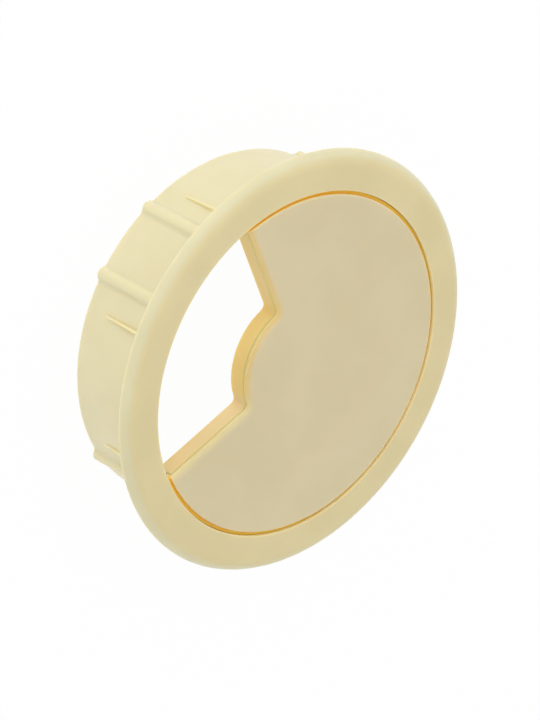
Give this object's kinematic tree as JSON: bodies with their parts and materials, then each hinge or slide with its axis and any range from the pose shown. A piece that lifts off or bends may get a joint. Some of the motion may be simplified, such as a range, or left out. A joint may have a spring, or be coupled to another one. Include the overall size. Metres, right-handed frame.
{
  "type": "cable grommet",
  "caption": "Round desk cable grommet: a flanged liner with crush beads and barbs, a flush cap with a quarter notch for cables, and a rotary shutter under it that closes the notch.",
  "frame": {"origin": "centre of the desk hole, in the plane of the desk top where the underside of the flange seats", "axes": "+Z leaves the desk through the face, -Y runs through the middle of the cable notch, +X completes the right-handed frame"},
  "size_m": [0.0706, 0.0706, 0.0194],
  "materials": {
    "liner_ivory": "satin moulded ivory plastic",
    "cap_ivory": "satin moulded ivory plastic",
    "shutter_ivory": "satin moulded ivory plastic"
  },
  "bodies": {
    "liner": {"liner_ring": "liner_ivory"},
    "cap": {"cover_cap": "cap_ivory"},
    "shutter": {"rotary_shutter": "shutter_ivory"}
  },
  "joints": [
    {"name": "cap_turn", "type": "hinge", "parent": "liner", "child": "cap", "pos_m": [0, 0, 0], "axis": [0, 0, 1], "continuous": true},
    {"name": "shutter_turn", "type": "hinge", "parent": "cap", "child": "shutter", "pos_m": [0, 0, 0], "axis": [0, 0, 1], "range_deg": [0, 95]}
  ]
}
